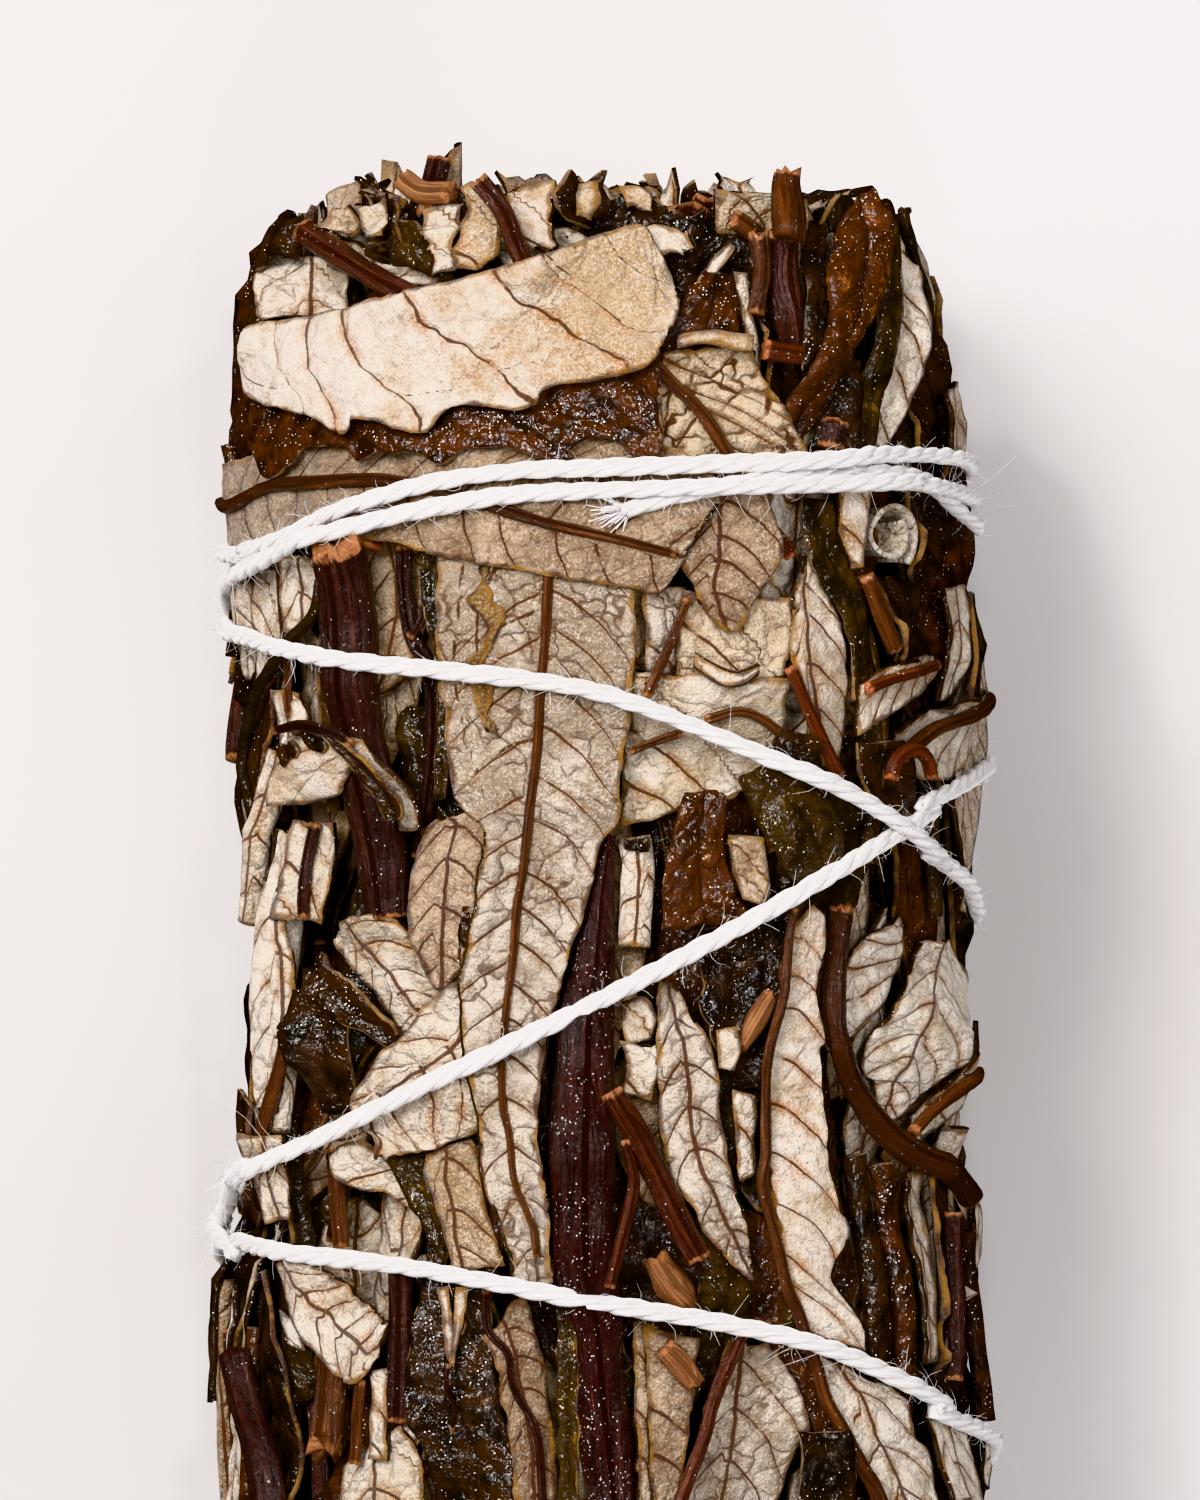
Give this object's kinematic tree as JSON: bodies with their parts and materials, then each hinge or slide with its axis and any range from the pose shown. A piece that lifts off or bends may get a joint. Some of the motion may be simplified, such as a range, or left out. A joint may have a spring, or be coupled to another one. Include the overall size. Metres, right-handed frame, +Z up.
{
  "type": "smudge stick",
  "caption": "Hand-tied bunch of dried resinous leaves and cut woody stems, bound with crossing turns of white cotton twine, lying on its side.",
  "frame": {"origin": "on the surface that the bunch lies on, under the middle of its length and width", "axes": "+Y along the bunch, towards the end with the folded leaf; +Z up, out of the surface it lies on; +X across the bunch"},
  "size_m": [0.0415, 0.1, 0.0365],
  "materials": {
    "cream_leaf": "dry felted leaf underside, matt",
    "tan_leaf": "dry felted leaf underside, tan, matt",
    "grey_leaf": "dry felted leaf underside, grey, matt",
    "amber_leaf": "resinous upper leaf side, glossy",
    "olive_leaf": "resinous upper leaf side, olive, semi-gloss",
    "dark_leaf": "dark dried leaf, semi-gloss",
    "red_stem": "dark red bark, glossy",
    "cut_wood": "pale cut wood, fibrous, matt",
    "cotton_twine": "white twisted cotton, matt"
  },
  "bodies": {
    "root": {"amber_leaf": "amber_leaf", "blob_leaf": "dark_leaf", "broken_leaf": "cream_leaf", "broken_stem": "cut_wood", "corner_leaf": "cream_leaf", "corner_stem": "dark_leaf", "cream_leaf": "cream_leaf", "crossing_stem": "red_stem", "curled_leaf": "cream_leaf", "cut_stem_top": "cut_wood", "dark_leaf": "dark_leaf", "dark_stem": "red_stem", "edge_leaf": "cream_leaf", "folded_leaf": "cream_leaf", "forked_stem": "red_stem", "fuzzy_leaf": "tan_leaf", "grey_leaf": "grey_leaf", "left_flank_leaf": "cream_leaf", "left_side_leaf": "tan_leaf", "left_under_leaf": "amber_leaf", "long_leaf": "grey_leaf", "lower_cream_leaf": "cream_leaf", "main_stem": "red_stem", "net_leaf": "cream_leaf", "olive_leaf": "olive_leaf", "pale_leaf": "cream_leaf", "red_stem_top": "red_stem", "rest_leaf_1": "cream_leaf", "rest_leaf_2": "cream_leaf", "rest_leaf_3": "cream_leaf", "rest_leaf_4": "cream_leaf", "rib_stem": "red_stem", "ribbed_leaf": "cream_leaf", "right_flank_leaf": "cream_leaf", "right_leaf": "cream_leaf", "right_side_leaf": "olive_leaf", "right_under_leaf": "cream_leaf", "rolled_leaf_edge": "amber_leaf", "rolled_leaf_left": "cream_leaf", "rolled_leaf_right": "dark_leaf", "rolled_leaf_small": "cream_leaf", "rolled_leaf_top": "amber_leaf", "scroll_leaf": "cream_leaf", "side_stem": "red_stem", "sprig_1": "olive_leaf", "sprig_2": "olive_leaf", "sprig_3": "dark_leaf", "sprig_4": "tan_leaf", "sprig_5": "olive_leaf", "sprig_6": "dark_leaf", "sprig_7": "tan_leaf", "tan_leaf": "tan_leaf", "thin_stem_top": "red_stem", "top_right_leaf": "dark_leaf", "triangle_leaf": "tan_leaf", "twine": "cotton_twine", "under_leaf": "tan_leaf", "veined_leaf": "grey_leaf", "wide_leaf": "cream_leaf"}
  },
  "joints": []
}
